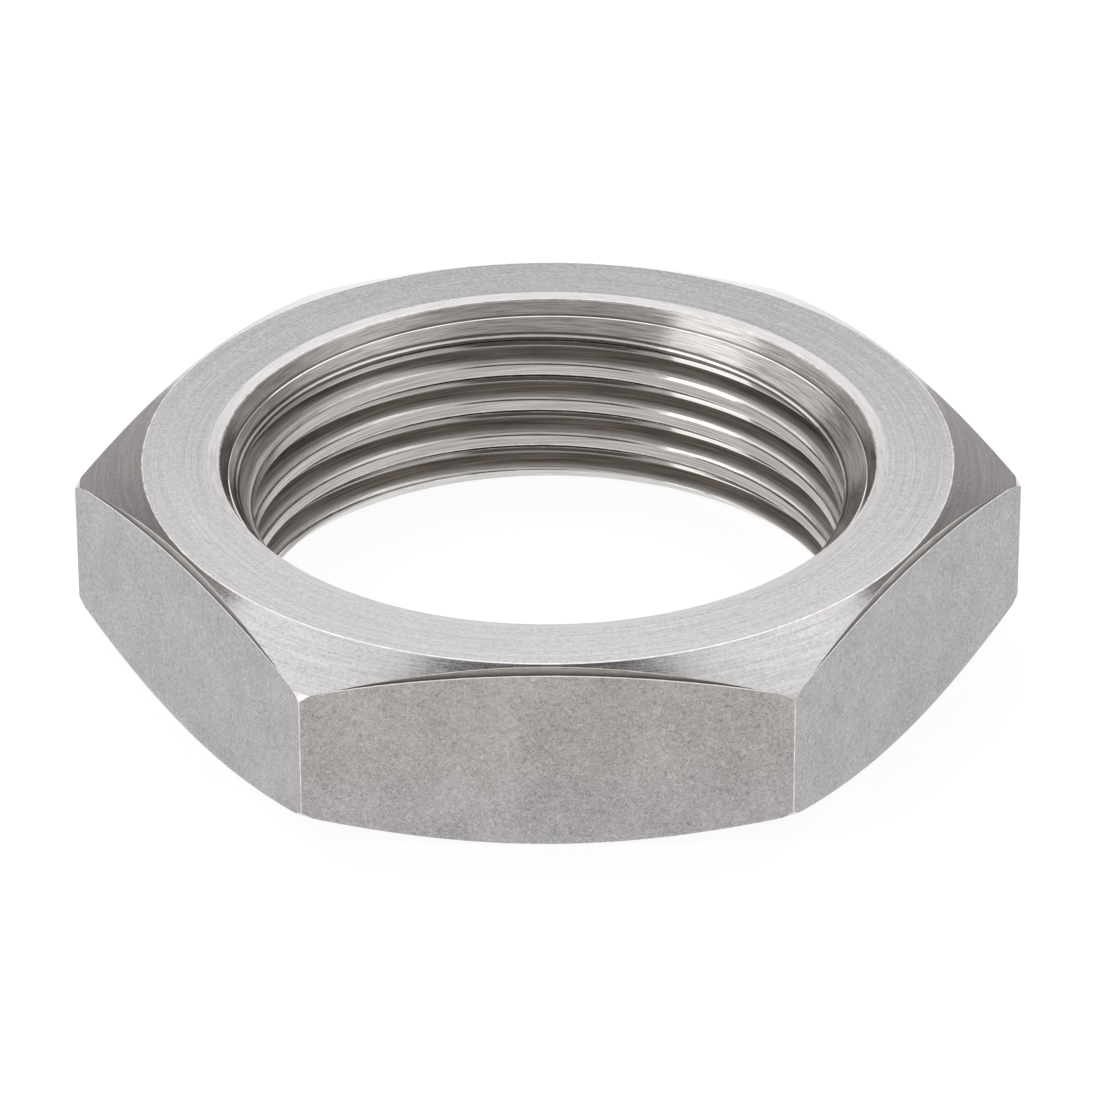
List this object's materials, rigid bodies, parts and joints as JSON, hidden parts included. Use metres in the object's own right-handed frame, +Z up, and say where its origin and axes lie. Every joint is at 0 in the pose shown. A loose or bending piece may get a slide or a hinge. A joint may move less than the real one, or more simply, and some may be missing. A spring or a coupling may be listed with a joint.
{
  "type": "hex lock nut",
  "caption": "Thin hexagonal lock nut with both ends chamfered and a fine threaded bore, countersunk at its upper face, tightened against another nut, a fitting or a panel.",
  "frame": {"origin": "centre of the lower face, on the thread's axis, where the nut rests", "axes": "+Z up along the thread's axis, towards the countersunk face; X through two opposite corners; Y through two opposite flats"},
  "size_m": [0.0476, 0.0412, 0.0102],
  "materials": {
    "turned_steel": "satin"
  },
  "bodies": {
    "root": {"lock_nut": "turned_steel"}
  },
  "joints": []
}
